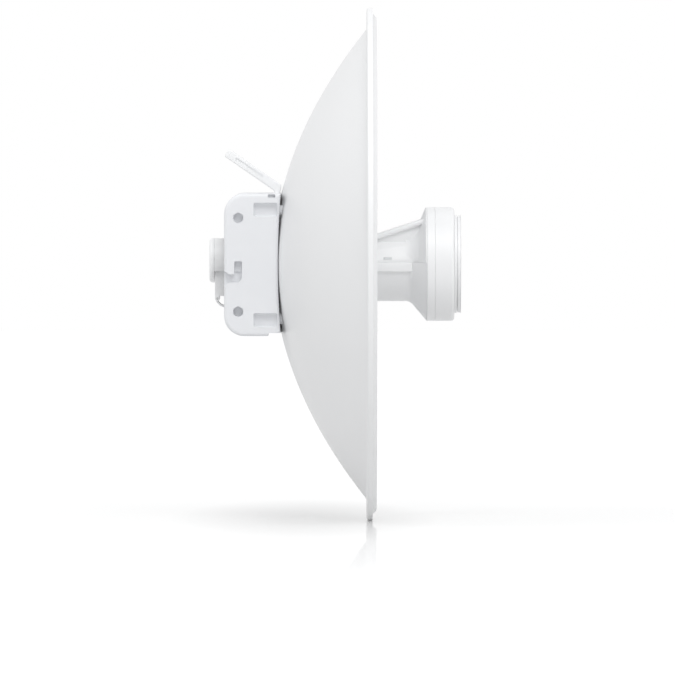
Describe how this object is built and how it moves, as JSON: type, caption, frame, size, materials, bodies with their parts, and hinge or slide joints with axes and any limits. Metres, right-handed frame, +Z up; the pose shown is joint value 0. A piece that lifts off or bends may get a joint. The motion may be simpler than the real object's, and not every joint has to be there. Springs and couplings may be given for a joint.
{
  "type": "parabolic dish antenna",
  "caption": "White parabolic dish antenna with a front feed on a neck, a rear hanging bracket with hooked slots and lock holes, and a raised latch lever.",
  "frame": {"origin": "centre of the hanging bolt in its seat, on the dish's axis and midway between the bracket's side walls", "axes": "+X is the way the dish looks, along its axis; +Z is up; +Y is to the side, along the hanging bolt"},
  "size_m": [0.2062, 0.42, 0.42],
  "materials": {
    "dish_paint": "satin white powder coat on aluminium",
    "white_plastic": "fine-grained white moulded plastic",
    "cap_plastic": "smooth white moulded plastic",
    "seal_rubber": "dark rubber",
    "zinc_steel": "zinc plated steel",
    "light_guide": "clear light guide",
    "circuit_board": "green solder mask",
    "brass_plate": "plain brass",
    "plate_aluminium": "plain aluminium",
    "button_plastic": "grey plastic"
  },
  "bodies": {
    "dish": {"dish_reflector": "dish_paint", "rim_ring": "white_plastic", "dish_bracket": "white_plastic", "dish_pads": "seal_rubber", "feed_collar": "white_plastic", "dish_screws": "zinc_steel", "dish_washers": "zinc_steel", "dish_nuts": "zinc_steel", "lever_pin": "zinc_steel"},
    "lever": {"latch_lever": "cap_plastic"},
    "feed": {"feed_barrel": "white_plastic", "barrel_seal": "seal_rubber", "neck_lower_shell": "white_plastic", "neck_upper_shell": "white_plastic", "light_pipe": "light_guide", "head_ring": "cap_plastic", "head_shell": "cap_plastic", "cap_seal": "seal_rubber", "front_cap": "cap_plastic", "radiator_board": "circuit_board", "patch_plate": "brass_plate", "patch_posts": "zinc_steel", "ground_plate": "plate_aluminium", "board_posts": "plate_aluminium", "radio_board": "circuit_board", "shield_cans": "zinc_steel", "main_board": "circuit_board", "network_jack": "zinc_steel", "tail_shell": "white_plastic", "tail_cap": "white_plastic", "tail_screws": "zinc_steel", "door_pin": "zinc_steel"},
    "flap": {"port_door": "white_plastic"},
    "reset": {"reset_button": "button_plastic"}
  },
  "joints": [
    {"name": "lever_hinge", "type": "hinge", "parent": "dish", "child": "lever", "pos_m": [0.0285, 0, 0.0525], "axis": [0, 1, 0], "range_deg": [-35, 0]},
    {"name": "feed_slide", "type": "slide", "parent": "dish", "child": "feed", "axis": [1, 0, 0], "range_m": [0, 0.09]},
    {"name": "flap_hinge", "type": "hinge", "parent": "feed", "child": "flap", "pos_m": [-0.0174, 0, -0.0282], "axis": [0, 1, 0], "range_deg": [0, 60]},
    {"name": "reset_press", "type": "slide", "parent": "feed", "child": "reset", "axis": [0, 0, 1], "range_m": [0, 0.0006], "stiffness_N_per_m": 600, "springref_m": -0.001}
  ]
}
